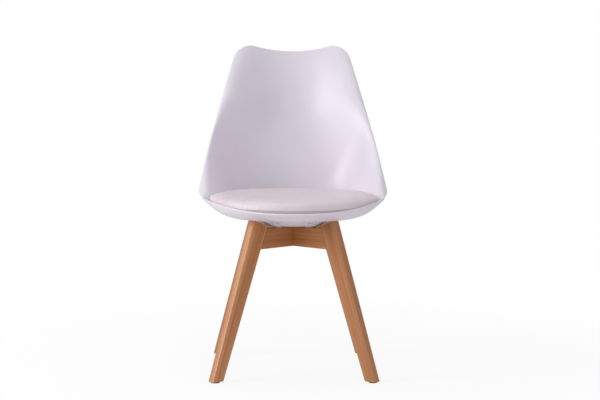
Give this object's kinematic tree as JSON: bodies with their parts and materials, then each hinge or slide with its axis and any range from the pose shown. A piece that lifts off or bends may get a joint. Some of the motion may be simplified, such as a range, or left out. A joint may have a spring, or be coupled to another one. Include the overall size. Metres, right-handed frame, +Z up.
{
  "type": "shell chair",
  "caption": "Moulded plastic bucket-shell dining chair with a padded seat on splayed wooden legs joined by crossing rails.",
  "frame": {"origin": "on the floor, under the middle of the whole chair's outline, 24.84 mm behind the middle of the four feet", "axes": "+Z up; the sitter faces -Y; +X is to the right of someone who looks at the chair from the front"},
  "size_m": [0.485, 0.5251, 0.827],
  "materials": {
    "shell_plastic": "satin injection-moulded polypropylene",
    "cover_leather": "fine-grained white synthetic leather",
    "pad_foam": "flexible polyurethane foam",
    "board_plywood": "raw plywood",
    "beech": "clear-lacquered solid beech",
    "dowel_beech": "raw fluted beech",
    "zinc_steel": "zinc-plated",
    "insert_brass": "turned",
    "glide_nylon": "moulded nylon"
  },
  "bodies": {
    "root": {"seat_shell": "shell_plastic", "pad_cover": "cover_leather", "pad_foam": "pad_foam", "pad_base_board": "board_plywood", "pad_screws": "zinc_steel", "pad_screw_washers": "zinc_steel", "pad_tee_nuts": "zinc_steel", "front_left_leg": "beech", "front_right_leg": "beech", "rear_left_leg": "beech", "rear_right_leg": "beech", "upper_cross_rail": "beech", "lower_cross_rail": "beech", "rail_dowels": "dowel_beech", "frame_bolts": "zinc_steel", "frame_spring_washers": "zinc_steel", "frame_flat_washers": "zinc_steel", "threaded_inserts": "insert_brass", "foot_glides": "glide_nylon", "foot_glide_nails": "zinc_steel"}
  },
  "joints": []
}
